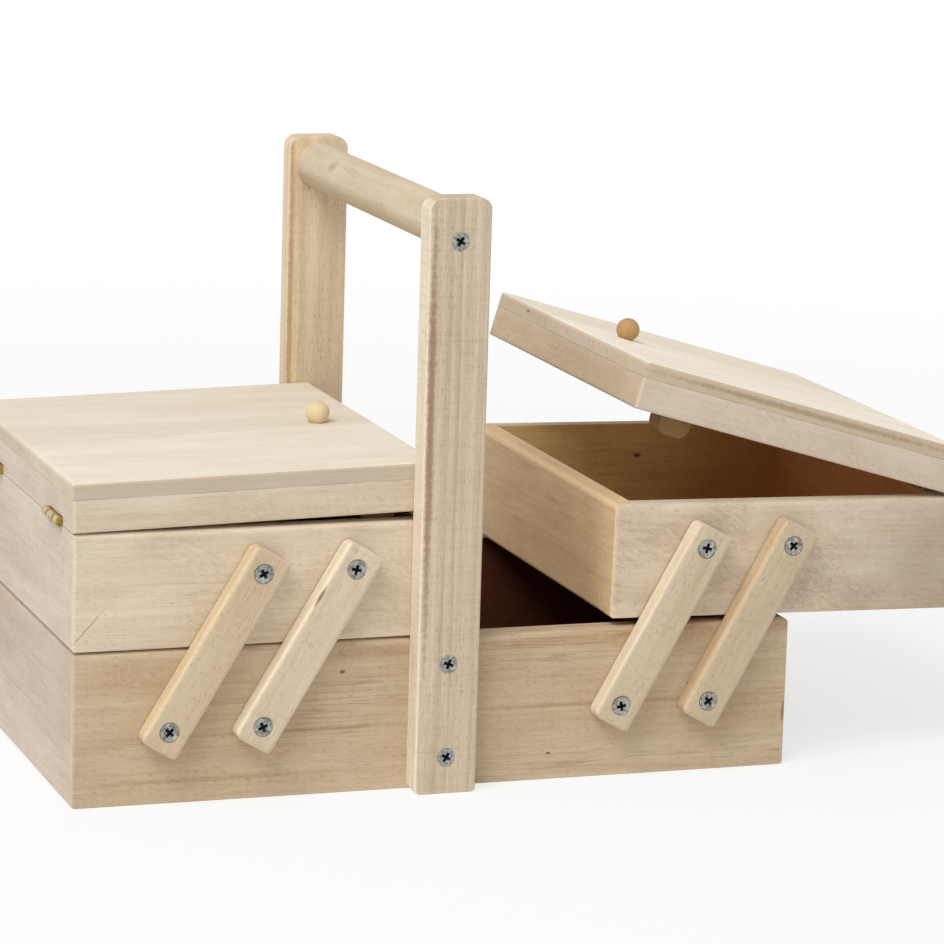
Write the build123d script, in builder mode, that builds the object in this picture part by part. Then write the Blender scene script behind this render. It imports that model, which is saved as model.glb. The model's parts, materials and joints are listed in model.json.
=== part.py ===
from build123d import *
import os
from math import cos, radians, sin

# A wooden sewing carrier: a base box, two trays that swing out on eight links, a lid on each tray,
# and a fixed handle between them.  Millimetres.  +X runs along the box, +Y to the back, +Z up, and
# the origin is the middle of the base's underside.  It stands as it is used: left tray closed with
# its lid just ajar, right tray swung out with its lid part raised.

os.makedirs("parts", exist_ok=True)

# ---------------------------------------------------------------- driving dimensions
# Base box
base_length = 270.0
base_depth = 160.0
base_height = 55.5
base_wall = 7.5
base_panel = 3.0
base_top_rounds = (2.5, 2.5)      # at the ends, then along the front and back
base_bottom_rounds = (2.0, 0.4)

# Trays
tray_height = 42.0
tray_wall = 7.5
tray_panel = 3.0
tray_top_rounds = (2.2, 2.2)
tray_bottom_rounds = (1.5, 0.7)
middle_gap = 2.0          # between the two closed trays
tray_seat_gap = 0.6       # between the base's rim and a closed tray
tray_side_gap = 0.3       # between a tray and each handle post

# Joinery that the boxes share
corner_round = 1.2        # upright corners
rebate = 4.0              # how far a floor panel goes into the walls

# Lids
lid_panel = 5.7
lid_rim_height = 11.8
lid_rim = 7.5
lid_top_rounds = (1.8, 1.0)
lid_bottom_rounds = (1.1, 1.1)
lid_gap = 0.3             # between a closed lid and its tray
lid_setback = 0.5         # free end of the lid inside the end of the tray

# Knobs
knob_radius = 4.4
knob_seat = 3.6           # height of the ball's centre above the lid
knob_places = {"left": (20.5, 1.8), "right": (25.0, 6.0)}   # from the lid's free end, behind its middle

# Locating block under each lid
block_length = 12.1
block_depth = 10.0
block_drop = 7.0          # below the rim
block_from_end = 15.1
block_clearance = 0.6
block_round = 4.0

# Links
link_pitch = 64.5         # pivot to pivot
link_width = 15.0
link_thickness = 7.0
link_end = 8.0            # wood beyond each pivot
link_corner = 3.0
link_edge_round = 1.6
link_gap = 0.3            # between a link and the base wall

# Linkage
outer_pivot = 101.4       # base pivots, from the middle of the box
inner_pivot = 67.5
base_pivot_height = 27.6
closed_lean = 31.0        # links lean inwards by this when a tray is closed
open_lean = 28.85         # and outwards by this when it is out
open_droop = 1.05         # an opened tray hangs this far below level, from the play in its pivots
pivot_play = 0.4          # round a screw in a link's hole

# Handle
post_width = 23.0
post_thickness = 10.0
post_height = 214.6
post_top_corner = 5.0
post_foot_corner = 2.5
post_side_round = 1.3     # along the two long edges of a post's outer face
post_end_round = 0.5      # across its top and foot
dowel_radius = 8.7
dowel_height = 203.4

# Countersunk wood screws
screw_radius = 1.75
screw_head_radius = 3.5
screw_fit = 0.05          # round a screw that is held fast
pivot_screw_length = 13.0
post_screw_length = 16.0
handle_screw_length = 30.0
post_screw_heights = (13.3, 47.5)
handle_screw_height = 199.2

# Screws that hold the knobs
knob_screw_radius = 1.25
knob_screw_head_radius = 2.5
knob_screw_length = 10.0

# Brass butt hinges, folded between the top of each tray's end wall and a notch in the lid's rim
hinge_length = 20.0
hinge_places = (-54.6, 37.5)   # along the depth of the box
hinge_out = 1.0           # from the end of the box to the middle of the pin
knuckle_radius = 1.7
hinge_pin_radius = 0.75
hinge_pin_fit = 0.05
knuckle_clear = 0.3       # round a knuckle
knuckle_middle = 8.0      # length of the lid's knuckle
knuckle_split = 0.1       # end play between two knuckles
leaf_thickness = 1.2
leaf_gap = 0.8            # between the two leaves of a closed hinge
leaf_reach = 6.0          # from the end of the box inwards
leaf_fit = 0.1
leaf_off_pin = 0.2        # from the outer edge of a leaf to the bore for the pin

# Lids as they stand: the angle each is raised above its tray
lid_raised = {"left": 1.36, "right": 15.12}
link_lean = {"left": -closed_lean, "right": open_lean}

# ---------------------------------------------------------------- what follows from them
tray_length = (base_length - middle_gap) / 2
tray_depth = base_depth - 2 * tray_side_gap
closed_tray_bottom = base_height + tray_seat_gap
lid_length = tray_length - lid_setback
lid_middle = lid_setback + lid_length / 2
rim_bottom = tray_height + lid_gap
panel_bottom = rim_bottom + lid_rim_height
lid_top = panel_bottom + lid_panel
travel = closed_lean + open_lean
pivot_spacing = outer_pivot - inner_pivot

# Pivot screws in a tray, from the tray's inner end and underside, found where it stands closed
tray_outer_pivot = outer_pivot - link_pitch * sin(radians(closed_lean)) - middle_gap / 2
tray_inner_pivot = tray_outer_pivot - pivot_spacing
tray_pivot_height = base_pivot_height + link_pitch * cos(radians(closed_lean)) - closed_tray_bottom

# The inner links carry half of what the droop takes up at each of their pivots
inner_link_lift = pivot_spacing * sin(radians(open_droop)) / 2

link_face = base_depth / 2 + link_gap + link_thickness
post_face = base_depth / 2 + post_thickness
hinge_x = tray_length + hinge_out
hinge_z = tray_height + leaf_thickness + leaf_gap / 2
hinge_notch_reach = leaf_reach + leaf_fit
hinge_notch_height = 2 * leaf_thickness + leaf_gap - lid_gap
knuckle_room = knuckle_radius + knuckle_clear


# ---------------------------------------------------------------- helpers
def save(shape, name):
    """Label a finished piece and write it under its own name."""
    shape.label = name
    export_step(shape, f"parts/{name}.step")


def on_side(shape, side, x, z, turn):
    """Move a shape drawn for the right-hand side to its place, mirrored for the left-hand side."""
    if side == "left":
        shape = mirror(shape, about=Plane.YZ)
        x = -x
        turn = -turn
    return shape.moved(Location((x, 0, z), (0, turn, 0)))


def in_tray(shape, side):
    """Seat a shape drawn in the tray's own frame: inner end, middle of the depth, underside."""
    lean = link_lean[side]
    droop = open_droop * (lean + closed_lean) / travel
    pivot_x = outer_pivot + link_pitch * sin(radians(lean))
    pivot_z = base_pivot_height + link_pitch * cos(radians(lean))
    x = pivot_x - tray_outer_pivot * cos(radians(droop)) - tray_pivot_height * sin(radians(droop))
    z = pivot_z + tray_outer_pivot * sin(radians(droop)) - tray_pivot_height * cos(radians(droop))
    return on_side(shape, side, x, z, droop)


def in_lid(shape, side):
    """Seat a shape of the lid, drawn closed in the tray's frame, with the lid raised on its hinge."""
    hinge_axis = Axis((hinge_x, 0, hinge_z), (0, 1, 0))
    return in_tray(shape.rotate(hinge_axis, lid_raised[side]), side)


def round_view(view, top_round, bottom_round, square_end=None):
    """Round the corners of a rectangle in a view of a block, but for the high-end one at square_end."""
    for edge, level, radius in (("top", -1, top_round), ("bottom", 0, bottom_round)):
        corners = view.vertices().group_by(Axis.Y)[level].sort_by(Axis.X)
        if radius > 0:
            fillet(corners[:1] if edge == square_end else corners, radius)


def box_blank(middle_x, length, depth, low, height, top_rounds, bottom_rounds, square_end=None):
    """A solid block with its upright corners eased and its top and bottom edges rounded over.

    Its plan, front view and end view are each extruded right through, and what they share is the
    block.  Of each pair of rounds the first goes along the ends and the second along the front and
    back.  The edge named by square_end, "top" or "bottom", stays square at the high-X end, where the
    hinges go.
    """
    end_top, side_top = top_rounds
    end_bottom, side_bottom = bottom_rounds
    with BuildPart() as blank:
        with BuildSketch(Plane.XY.offset(low)):
            with Locations((middle_x, 0)):
                RectangleRounded(length, depth, corner_round)
        extrude(amount=height)
        with BuildSketch(Plane.XZ) as front_view:
            with Locations((middle_x, low + height / 2)):
                Rectangle(length, height)
            round_view(front_view, end_top, end_bottom, square_end)
        extrude(amount=depth, both=True, mode=Mode.INTERSECT)
        with BuildSketch(Plane.YZ.offset(middle_x)) as end_view:
            with Locations((0, low + height / 2)):
                Rectangle(depth, height)
            round_view(end_view, side_top, side_bottom)
        extrude(amount=length, both=True, mode=Mode.INTERSECT)
    return blank.part


def mitred_wall(frame, wall, middle_x, length, depth, mitre, low, high):
    """One wall of a frame, cut from it along the mitres that run in from the frame's corners."""
    left = middle_x - length / 2
    right = middle_x + length / 2
    front = -depth / 2
    back = depth / 2
    inner_left = left + mitre
    inner_right = right - mitre
    inner_front = front + mitre
    inner_back = back - mitre
    wedges = {
        "front": [(left, front), (right, front), (inner_right, inner_front), (inner_left, inner_front)],
        "back": [(left, back), (inner_left, inner_back), (inner_right, inner_back), (right, back)],
        "low_x": [(left, front), (inner_left, inner_front), (inner_left, inner_back), (left, back)],
        "high_x": [(right, front), (right, back), (inner_right, inner_back), (inner_right, inner_front)],
    }
    with BuildPart() as piece:
        add(frame)
        with BuildSketch(Plane.XY.offset(low)):
            with BuildLine():
                Polyline(*wedges[wall], close=True)
            make_face()
        extrude(amount=high - low, mode=Mode.INTERSECT)
    return piece.part


def countersunk_screw(radius, head_radius, length):
    """A wood screw pointing down, its flat head level with the origin, without its thread."""
    cone = head_radius - radius
    with BuildPart() as screw:
        with BuildSketch(Plane.XZ):
            with BuildLine():
                Polyline(
                    (0, 0), (head_radius, 0), (radius, -cone), (radius, -length), (0, -length), close=True
                )
            make_face()
        revolve(axis=Axis.Z)
    return screw.part


def facing(side, x, face, z):
    """A place on the front (-1) or back (+1) face of the box, pointing outwards."""
    return Location((x, side * face, z), (-90 * side, 0, 0))


# ---------------------------------------------------------------- base box
base_pivots = [-outer_pivot, -inner_pivot, inner_pivot, outer_pivot]
pivot_pilot = pivot_screw_length - link_thickness - link_gap + screw_fit
post_pilot = post_screw_length - post_thickness + screw_fit

base_blank = box_blank(0, base_length, base_depth, 0, base_height, base_top_rounds, base_bottom_rounds)
with BuildPart() as base_frame:
    add(base_blank)
    with BuildSketch():
        Rectangle(base_length - 2 * base_wall, base_depth - 2 * base_wall)
    extrude(amount=base_height, mode=Mode.SUBTRACT)
    with BuildSketch():
        Rectangle(base_length - 2 * (base_wall - rebate), base_depth - 2 * (base_wall - rebate))
    extrude(amount=base_panel, mode=Mode.SUBTRACT)
    with Locations([facing(s, x, base_depth / 2, base_pivot_height) for s in (-1, 1) for x in base_pivots]):
        Hole(screw_radius + screw_fit, pivot_pilot)
    with Locations([facing(s, 0, base_depth / 2, z) for s in (-1, 1) for z in post_screw_heights]):
        Hole(screw_radius + screw_fit, post_pilot)

base_walls = {"front": "front", "back": "back", "left_end": "low_x", "right_end": "high_x"}
for name, wall in base_walls.items():
    piece = mitred_wall(base_frame.part, wall, 0, base_length, base_depth, 2 * base_wall, 0, base_height)
    save(piece, f"base_{name}")

with BuildPart() as base_bottom:
    with BuildSketch():
        Rectangle(base_length - 2 * (base_wall - rebate), base_depth - 2 * (base_wall - rebate))
    extrude(amount=base_panel)
save(base_bottom.part, "base_bottom")

# ---------------------------------------------------------------- handle
with BuildPart() as front_post:
    with BuildSketch(Plane.XZ.offset(base_depth / 2)) as outline:
        with Locations((0, post_height / 2)):
            Rectangle(post_width, post_height)
        fillet(outline.vertices().group_by(Axis.Y)[-1], post_top_corner)
        fillet(outline.vertices().group_by(Axis.Y)[0], post_foot_corner)
    extrude(amount=post_thickness)
    with BuildSketch() as post_section:
        with Locations((0, -base_depth / 2 - post_thickness / 2)):
            Rectangle(post_width, post_thickness)
        fillet(post_section.vertices().group_by(Axis.Y)[0], post_side_round)
    extrude(amount=post_height, mode=Mode.INTERSECT)
    with BuildSketch(Plane.YZ) as post_profile:
        with Locations((-base_depth / 2 - post_thickness / 2, post_height / 2)):
            Rectangle(post_thickness, post_height)
        fillet(post_profile.vertices().group_by(Axis.X)[0], post_end_round)
    extrude(amount=post_width / 2, both=True, mode=Mode.INTERSECT)
    with Locations([facing(-1, 0, post_face, z) for z in (*post_screw_heights, handle_screw_height)]):
        CounterSinkHole(screw_radius + screw_fit, screw_head_radius + screw_fit, counter_sink_angle=90)
save(front_post.part, "front_post")
save(mirror(front_post.part, about=Plane.XZ), "back_post")

with BuildPart() as handle_dowel:
    with BuildSketch(Plane.XZ.offset(-base_depth / 2)):
        with Locations((0, dowel_height)):
            Circle(dowel_radius)
    extrude(amount=base_depth)
    with Locations([facing(s, 0, base_depth / 2, handle_screw_height) for s in (-1, 1)]):
        Hole(screw_radius + screw_fit, handle_screw_length - post_thickness + screw_fit)
save(handle_dowel.part, "handle_dowel")

# ---------------------------------------------------------------- screws in the base and handle
pivot_screw = countersunk_screw(screw_radius, screw_head_radius, pivot_screw_length)
post_screw = countersunk_screw(screw_radius, screw_head_radius, post_screw_length)
handle_screw = countersunk_screw(screw_radius, screw_head_radius, handle_screw_length)

with BuildPart() as base_pivot_screws:
    with Locations([facing(s, x, link_face, base_pivot_height) for s in (-1, 1) for x in base_pivots]):
        add(pivot_screw)
save(base_pivot_screws.part, "base_pivot_screws")

with BuildPart() as post_screws:
    with Locations([facing(s, 0, post_face, z) for s in (-1, 1) for z in post_screw_heights]):
        add(post_screw)
save(post_screws.part, "post_screws")

with BuildPart() as handle_screws:
    with Locations([facing(s, 0, post_face, handle_screw_height) for s in (-1, 1)]):
        add(handle_screw)
save(handle_screws.part, "handle_screws")

# ---------------------------------------------------------------- links
# Drawn upright on the front of the box, the lower pivot at the origin.
link_length = link_pitch + 2 * link_end
link_back = -base_depth / 2 - link_gap
with BuildPart() as link:
    with BuildSketch(Plane.XZ.offset(-link_back)):
        with Locations((0, link_pitch / 2)):
            RectangleRounded(link_width, link_length, link_corner)
    extrude(amount=link_thickness)
    with BuildSketch(Plane.XY.offset(-link_end)) as link_section:
        with Locations((0, link_back - link_thickness / 2)):
            Rectangle(link_width, link_thickness)
        fillet(link_section.vertices().group_by(Axis.Y)[0], link_edge_round)
    extrude(amount=link_length, mode=Mode.INTERSECT)
    with BuildSketch(Plane.YZ) as link_profile:
        with Locations((link_back - link_thickness / 2, link_pitch / 2)):
            Rectangle(link_thickness, link_length)
        fillet(link_profile.vertices().group_by(Axis.X)[0], link_edge_round)
    extrude(amount=link_width / 2, both=True, mode=Mode.INTERSECT)
    with Locations([facing(-1, 0, link_face, z) for z in (0, link_pitch)]):
        CounterSinkHole(screw_radius + pivot_play, screw_head_radius + pivot_play, counter_sink_angle=90)

link_places = {"outer": outer_pivot, "inner": inner_pivot}
link_lifts = {"outer": 0.0, "inner": inner_link_lift}
for side in ("left", "right"):
    for row, pivot_x in link_places.items():
        # The play is taken up straight upwards when the tray is out, so it lies across an upright link.
        across = -link_lifts[row] * sin(radians(open_lean))
        along = link_lifts[row] * cos(radians(open_lean))
        shifted = link.part.moved(Location((across, 0, along)))
        front_link = on_side(shifted, side, pivot_x, base_pivot_height, link_lean[side])
        save(front_link, f"{side}_front_{row}_link")
        save(mirror(front_link, about=Plane.XZ), f"{side}_back_{row}_link")

# ---------------------------------------------------------------- hinges
# Drawn round a pin that lies along Y through the origin, with the box on the -X side.  The tray's
# leaf lies on top of its wall, and the lid's leaf lies over it.
leaf_inner = -hinge_out - leaf_reach
leaf_outer = -(hinge_pin_radius + hinge_pin_fit + leaf_off_pin)
knuckle_end = (hinge_length - knuckle_middle) / 2


def hinge_leaf(knuckles, notches, low):
    """A leaf with its knuckles, each a middle and a length along the pin, and the other leaf's notches."""
    with BuildPart() as leaf:
        with BuildSketch(Plane.XY.offset(low)):
            with Locations(((leaf_inner + leaf_outer) / 2, 0)):
                Rectangle(leaf_outer - leaf_inner, hinge_length)
            for middle, length in notches:
                with Locations((-knuckle_room / 2, middle)):
                    Rectangle(knuckle_room, length, mode=Mode.SUBTRACT)
        extrude(amount=leaf_thickness)
        for middle, length in knuckles:
            with BuildSketch(Plane.XZ.offset(-middle - length / 2)):
                Circle(knuckle_radius)
            extrude(amount=length)
        with BuildSketch(Plane.XZ.offset(-hinge_length / 2)):
            Circle(hinge_pin_radius + hinge_pin_fit)
        extrude(amount=hinge_length, mode=Mode.SUBTRACT)
    return leaf.part


outer_middle = (knuckle_middle + knuckle_end) / 2
tray_knuckles = [(s * (outer_middle + knuckle_split / 2), knuckle_end - knuckle_split) for s in (-1, 1)]
lid_knuckles = [(0, knuckle_middle - knuckle_split)]
tray_notches = [(0, knuckle_middle + knuckle_split)]
lid_notches = [(s * outer_middle, knuckle_end + knuckle_split) for s in (-1, 1)]
tray_leaf = hinge_leaf(tray_knuckles, tray_notches, -leaf_gap / 2 - leaf_thickness)
lid_leaf = hinge_leaf(lid_knuckles, lid_notches, leaf_gap / 2)

with BuildPart() as hinge_tray_leaves:
    with Locations([(hinge_x, y, hinge_z) for y in hinge_places]):
        add(tray_leaf)

with BuildPart() as hinge_lid_leaves:
    with Locations([(hinge_x, y, hinge_z) for y in hinge_places]):
        add(lid_leaf)

with BuildPart() as hinge_pins:
    for y in hinge_places:
        with BuildSketch(Plane.XZ.offset(-y - hinge_length / 2)):
            with Locations((hinge_x, hinge_z)):
                Circle(hinge_pin_radius)
        extrude(amount=hinge_length)

# Grooves for the knuckles, along the top of the tray's end wall and along the lid's rim
with BuildPart() as knuckle_grooves:
    for y in hinge_places:
        with BuildSketch(Plane.XZ.offset(-y - hinge_length / 2 - leaf_fit)):
            with Locations((hinge_x, hinge_z)):
                Circle(knuckle_room)
        extrude(amount=hinge_length + 2 * leaf_fit)

for side in ("left", "right"):
    save(in_tray(hinge_tray_leaves.part, side), f"{side}_hinge_tray_leaves")
    save(in_tray(hinge_pins.part, side), f"{side}_hinge_pins")
    save(in_lid(hinge_lid_leaves.part, side), f"{side}_hinge_lid_leaves")

# ---------------------------------------------------------------- trays
# Drawn in the tray's own frame.  Its edges are rounded but for the top one at the hinges, where
# lid and tray meet flush.
tray_middle = tray_length / 2
tray_pivots = [tray_inner_pivot, tray_outer_pivot]
tray_pilot = pivot_screw_length - link_thickness - link_gap - tray_side_gap + screw_fit

tray_blank = box_blank(
    tray_middle, tray_length, tray_depth, 0, tray_height, tray_top_rounds, tray_bottom_rounds, "top"
)
with BuildPart() as tray_frame:
    add(tray_blank)
    with BuildSketch():
        with Locations((tray_middle, 0)):
            Rectangle(tray_length - 2 * tray_wall, tray_depth - 2 * tray_wall)
    extrude(amount=tray_height, mode=Mode.SUBTRACT)
    with BuildSketch():
        with Locations((tray_middle, 0)):
            Rectangle(tray_length - 2 * (tray_wall - rebate), tray_depth - 2 * (tray_wall - rebate))
    extrude(amount=tray_panel, mode=Mode.SUBTRACT)
    add(knuckle_grooves.part, mode=Mode.SUBTRACT)
    with Locations([facing(s, x, tray_depth / 2, tray_pivot_height) for s in (-1, 1) for x in tray_pivots]):
        Hole(screw_radius + screw_fit, tray_pilot)

with BuildPart() as tray_bottom:
    with BuildSketch():
        with Locations((tray_middle, 0)):
            Rectangle(tray_length - 2 * (tray_wall - rebate), tray_depth - 2 * (tray_wall - rebate))
    extrude(amount=tray_panel)

with BuildPart() as tray_pivot_screws:
    with Locations([facing(s, x, link_face, tray_pivot_height) for s in (-1, 1) for x in tray_pivots]):
        add(pivot_screw)

tray_walls = {"front": "front", "back": "back", "inner_end": "low_x", "hinge_end": "high_x"}
for side in ("left", "right"):
    for name, wall in tray_walls.items():
        piece = mitred_wall(
            tray_frame.part, wall, tray_middle, tray_length, tray_depth, 2 * tray_wall, 0, tray_height
        )
        save(in_tray(piece, side), f"{side}_tray_{name}")
    save(in_tray(tray_bottom.part, side), f"{side}_tray_bottom")
    save(in_tray(tray_pivot_screws.part, side), f"{side}_tray_pivot_screws")

# ---------------------------------------------------------------- lids
# Drawn closed, in the tray's frame.
knob_bore = knob_screw_length - lid_panel + screw_fit

rim_blank = box_blank(
    lid_middle, lid_length, tray_depth, rim_bottom, lid_rim_height, (0, 0), lid_bottom_rounds, "bottom"
)
with BuildPart() as lid_frame:
    add(rim_blank)
    with BuildSketch(Plane.XY.offset(rim_bottom)):
        with Locations((lid_middle, 0)):
            Rectangle(lid_length - 2 * lid_rim, tray_depth - 2 * lid_rim)
    extrude(amount=lid_rim_height, mode=Mode.SUBTRACT)
    with BuildSketch(Plane.XY.offset(rim_bottom)):
        with Locations([(tray_length - hinge_notch_reach / 2, y) for y in hinge_places]):
            Rectangle(hinge_notch_reach, hinge_length + 2 * leaf_fit)
    extrude(amount=hinge_notch_height, mode=Mode.SUBTRACT)
    add(knuckle_grooves.part, mode=Mode.SUBTRACT)

lid_blank = box_blank(lid_middle, lid_length, tray_depth, panel_bottom, lid_panel, lid_top_rounds, (0, 0))

# The ball is flattened where it seats on the lid.
knob_foot = (knob_radius**2 - knob_seat**2) ** 0.5
with BuildPart() as knob:
    with BuildSketch(Plane.XZ):
        with BuildLine():
            Line((0, 0), (knob_foot, 0))
            ThreePointArc((knob_foot, 0), (knob_radius, knob_seat), (0, knob_seat + knob_radius))
            Line((0, knob_seat + knob_radius), (0, 0))
        make_face()
    revolve(axis=Axis.Z)
    with Locations(Location((0, 0, 0), (180, 0, 0))):
        Hole(knob_screw_radius + screw_fit, knob_bore)

knob_screw = countersunk_screw(knob_screw_radius, knob_screw_head_radius, knob_screw_length)

block_x = block_from_end + block_length / 2
block_y = -tray_depth / 2 + max(tray_wall, lid_rim) + block_clearance + block_depth / 2
block_height = block_drop + lid_rim_height
with BuildPart() as locating_block:
    with BuildSketch(Plane.XZ.offset(-block_y)) as block_profile:
        with Locations((block_x, panel_bottom - block_height / 2)):
            Rectangle(block_length, block_height)
        fillet(block_profile.vertices().group_by(Axis.Y)[0], block_round)
    extrude(amount=block_depth / 2, both=True)

lid_rims = {"front": "front", "back": "back", "free_end": "low_x", "hinge_end": "high_x"}
for side in ("left", "right"):
    for name, wall in lid_rims.items():
        piece = mitred_wall(
            lid_frame.part, wall, lid_middle, lid_length, tray_depth, 2 * lid_rim, rim_bottom, panel_bottom
        )
        save(in_lid(piece, side), f"{side}_lid_rim_{name}")
    save(in_lid(locating_block.part, side), f"{side}_locating_block")

    from_end, off_middle = knob_places[side]
    knob_x = lid_setback + from_end
    screw_place = Location((knob_x, off_middle, panel_bottom), (180, 0, 0))
    with BuildPart() as lid_board:
        add(lid_blank)
        with Locations(screw_place):
            CounterSinkHole(
                knob_screw_radius + screw_fit, knob_screw_head_radius + screw_fit, counter_sink_angle=90
            )
    save(in_lid(lid_board.part, side), f"{side}_lid_panel")
    save(in_lid(knob.part.moved(Location((knob_x, off_middle, lid_top))), side), f"{side}_knob")
    save(in_lid(knob_screw.moved(screw_place), side), f"{side}_knob_screw")
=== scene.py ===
"""The looks of a wooden sewing carrier: bare timber, zinc-plated screws and brass hinges.

Boards, marks, seams, hinge lines, screws and names that end in _mm are in millimetres, and the rest
is in metres.
"""

import json
import random
from math import cos, pi, radians, sin

import bpy
from mathutils import Matrix, Vector

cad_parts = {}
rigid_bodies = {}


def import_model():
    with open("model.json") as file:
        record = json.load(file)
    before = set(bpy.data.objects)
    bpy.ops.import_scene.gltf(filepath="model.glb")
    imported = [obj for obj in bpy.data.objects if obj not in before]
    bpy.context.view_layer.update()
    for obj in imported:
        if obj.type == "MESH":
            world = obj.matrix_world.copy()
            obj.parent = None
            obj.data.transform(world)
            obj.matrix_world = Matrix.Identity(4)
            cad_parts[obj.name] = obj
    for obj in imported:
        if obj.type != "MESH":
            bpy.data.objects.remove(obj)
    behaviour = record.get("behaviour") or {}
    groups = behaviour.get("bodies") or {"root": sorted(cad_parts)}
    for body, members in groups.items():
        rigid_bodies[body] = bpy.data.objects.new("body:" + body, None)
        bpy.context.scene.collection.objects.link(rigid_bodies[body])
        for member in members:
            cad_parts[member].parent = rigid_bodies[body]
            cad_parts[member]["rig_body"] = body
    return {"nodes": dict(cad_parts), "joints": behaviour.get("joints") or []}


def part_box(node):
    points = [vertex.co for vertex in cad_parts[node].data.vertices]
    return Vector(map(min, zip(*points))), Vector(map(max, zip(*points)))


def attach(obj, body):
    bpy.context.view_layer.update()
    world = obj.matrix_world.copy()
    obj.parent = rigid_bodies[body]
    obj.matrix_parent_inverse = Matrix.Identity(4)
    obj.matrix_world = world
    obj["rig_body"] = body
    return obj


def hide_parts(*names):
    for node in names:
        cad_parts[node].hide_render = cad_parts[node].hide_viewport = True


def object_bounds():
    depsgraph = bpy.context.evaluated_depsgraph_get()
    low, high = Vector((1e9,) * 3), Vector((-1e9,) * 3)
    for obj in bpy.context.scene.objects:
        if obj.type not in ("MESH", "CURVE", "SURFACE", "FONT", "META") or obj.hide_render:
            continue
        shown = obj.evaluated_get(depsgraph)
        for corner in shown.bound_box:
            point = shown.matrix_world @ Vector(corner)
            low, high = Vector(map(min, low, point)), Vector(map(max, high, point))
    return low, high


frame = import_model()
cad_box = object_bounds()
nodes = frame["nodes"]
joints = {joint["name"]: joint for joint in frame["joints"]}

MM = 0.001
SEED = 11
SIDES = ("left", "right")

# ---------------------------------------------------------------- camera and light
camera_place = Vector((-0.48903, -1.50525, 0.42111))
camera_yaw = 19.2972      # degrees, clockwise from +Y seen from above
camera_pitch = 11.4609    # degrees below level
camera_roll = 1.7044
camera_lens_mm = 165.446
camera_sensor_mm = 36.0

world_strength = 0.53
key_place = Vector((-1.4, -1.2, 2.5))
key_size = 1.6
key_power = 56.0
floor_albedo = 0.93
floor_glow = 0.7          # share of the floor's own white that the camera sees near the box
floor_near = 0.3          # from the middle of the box, where that share starts to rise
floor_far = 1.2           # and where it is whole

# ---------------------------------------------------------------- directions from the frame
X = Vector((1, 0, 0))
Y = Vector((0, 1, 0))
Z = Vector((0, 0, 1))


def joint_span(name):
    """How far a joint turns, in degrees."""
    low, high = joints[name]["range_deg"]
    return high - low


def joint_place(name):
    """Where a joint's axis stands at rest."""
    return Vector(joints[name]["pos_m"])


right_droop = radians(joint_span("right_swing") - joint_span("right_tray_pivot"))
lid_lift = {side: radians(-joints[f"{side}_lid_hinge"]["range_deg"][0]) for side in SIDES}
right_lean = lid_lift["right"] + right_droop
tray_along = {"left": X, "right": Vector((cos(right_droop), 0, -sin(right_droop)))}
lid_along = {
    "left": Vector((cos(lid_lift["left"]), 0, sin(lid_lift["left"]))),
    "right": Vector((cos(right_lean), 0, -sin(right_lean))),
}
link_along = {
    side: (joint_place(f"{side}_tray_pivot") - joint_place(f"{side}_swing")).normalized() for side in SIDES
}


# ---------------------------------------------------------------- shader helpers
WHITE = (1, 1, 1, 1)


def tone(red, green, blue):
    """A colour written as a painter would pick it, 0 to 255, as linear light."""
    def linear(value):
        share = value / 255
        return share / 12.92 if share <= 0.04045 else ((share + 0.055) / 1.055) ** 2.4
    return (linear(red), linear(green), linear(blue), 1.0)


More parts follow.
